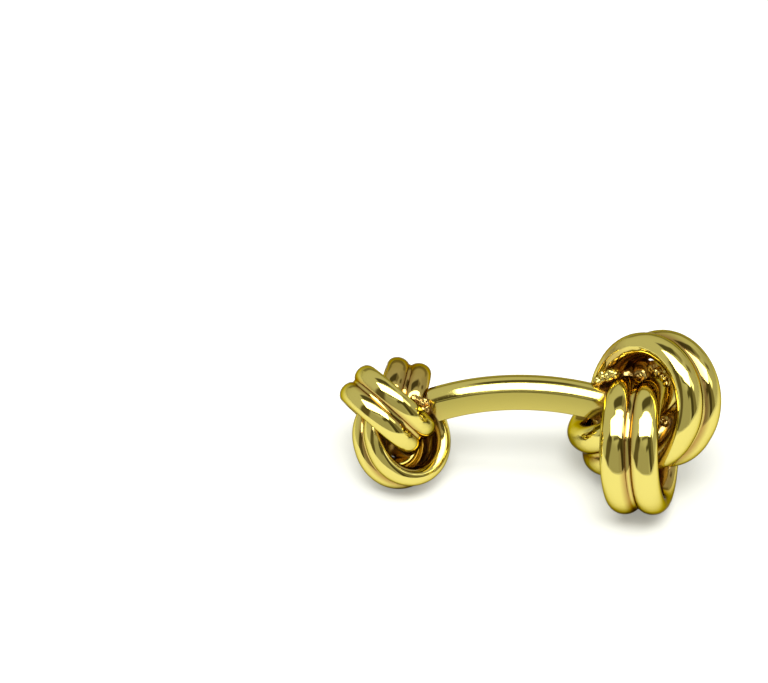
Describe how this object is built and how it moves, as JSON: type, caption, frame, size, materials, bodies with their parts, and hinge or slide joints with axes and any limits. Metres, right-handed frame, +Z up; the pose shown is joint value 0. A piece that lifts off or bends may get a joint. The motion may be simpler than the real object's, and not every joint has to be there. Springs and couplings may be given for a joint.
{
  "type": "knot cufflink",
  "caption": "Cufflink with a large knot and a small knot of interlaced ribbed loops on a curved bar that passes through a cuff's buttonholes.",
  "frame": {"origin": "on the floor under the middle of the cufflink's box, as it rests by itself on two loops of the large knot and one loop of the small knot", "axes": "+X along the bar from the small knot to the large knot, +Z up as it rests, with the bar arched towards +Z"},
  "size_m": [0.0276, 0.0136, 0.0126],
  "materials": {
    "polished_gold": "mirror polished yellow gold",
    "bar_gold": "polished yellow gold with a fine lengthwise grain on the sides"
  },
  "bodies": {
    "root": {"bar": "bar_gold", "face_knot_loop_1": "polished_gold", "face_knot_loop_2": "polished_gold", "face_knot_loop_3": "polished_gold", "end_knot_loop_1": "polished_gold", "end_knot_loop_2": "polished_gold", "end_knot_loop_3": "polished_gold"}
  },
  "joints": []
}
